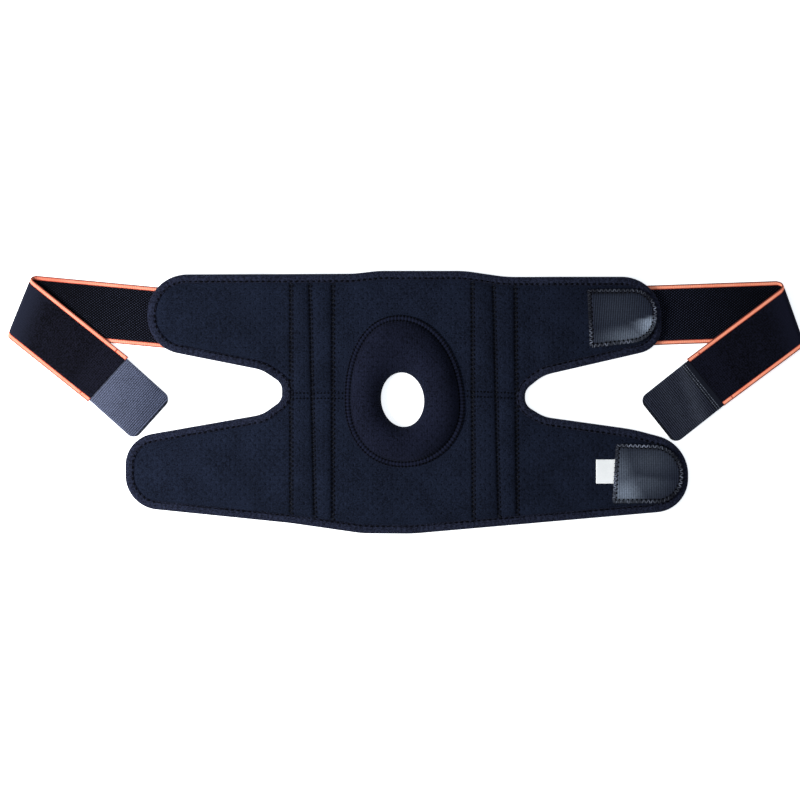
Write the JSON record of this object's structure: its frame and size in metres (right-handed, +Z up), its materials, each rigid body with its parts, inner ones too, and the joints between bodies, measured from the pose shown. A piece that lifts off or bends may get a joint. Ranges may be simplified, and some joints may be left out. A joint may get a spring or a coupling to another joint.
{
  "type": "knee support wrap",
  "caption": "Wrap-around knee support laid flat: a winged padded cloth panel with an open kneecap hole in a raised ring, folded elastic straps and hook fastener patches.",
  "frame": {"origin": "on the surface that the wrap lies on, under the middle of its outer box", "axes": "+Z up, out of the wrap's inner face; +X along its length, towards the wings with the hook patches; +Y towards the two wings that carry the straps"},
  "size_m": [0.6997, 0.2312, 0.0132],
  "materials": {
    "panel_cloth": "dark navy perforated knit over foam",
    "binding_cloth": "dark ribbed binding tape, sewn",
    "ring_cloth": "dark navy stretch knit over a soft pad",
    "hook_tape": "dark hook fastener, satin rows",
    "label_cloth": "plain white woven tape",
    "webbing": "near-black woven elastic",
    "edging": "orange ribbed selvedge",
    "tab_tape": "grey hook fastener, satin rows"
  },
  "bodies": {
    "root": {"wrap_panel_upper": "panel_cloth", "wrap_panel_lower": "panel_cloth", "edge_binding": "binding_cloth", "kneecap_ring": "ring_cloth", "hook_patch_upper": "hook_tape", "hook_patch_lower": "hook_tape", "side_label": "label_cloth", "strap_left": "webbing", "strap_left_edging_upper": "edging", "strap_left_edging_lower": "edging", "strap_left_tab": "tab_tape", "strap_right": "webbing", "strap_right_edging_upper": "edging", "strap_right_edging_lower": "edging", "strap_right_tab": "tab_tape"}
  },
  "joints": []
}
